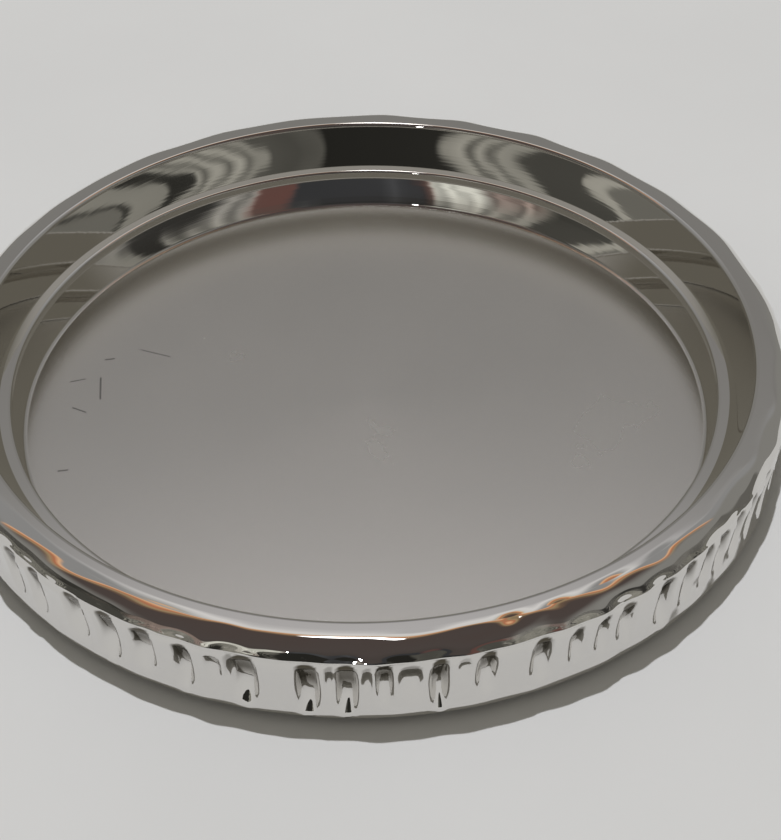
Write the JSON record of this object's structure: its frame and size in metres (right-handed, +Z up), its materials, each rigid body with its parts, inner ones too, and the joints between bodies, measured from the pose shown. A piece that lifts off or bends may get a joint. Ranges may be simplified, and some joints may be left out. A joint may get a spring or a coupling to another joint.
{
  "type": "offering plate",
  "caption": "Round polished steel offering plate with a flared bowl, a ledge halfway down it, a rolled rim and an irregularly fluted skirt.",
  "frame": {"origin": "centre of the underside of the dish's floor, on the plane that the plate rests on", "axes": "+Z up along the plate's axis, out of the bowl; +X and +Y across the rim, with +Y away from the front"},
  "size_m": [0.3045, 0.3046, 0.0344],
  "materials": {
    "dish_steel": "stainless steel, satin floor and mirror-polished wall and ledge",
    "shell_steel": "mirror-polished stainless steel",
    "braze_metal": "dull silver brazing filler, as flowed"
  },
  "bodies": {
    "root": {"inner_dish": "dish_steel", "fluted_shell": "shell_steel", "seam_braze": "braze_metal"}
  },
  "joints": []
}
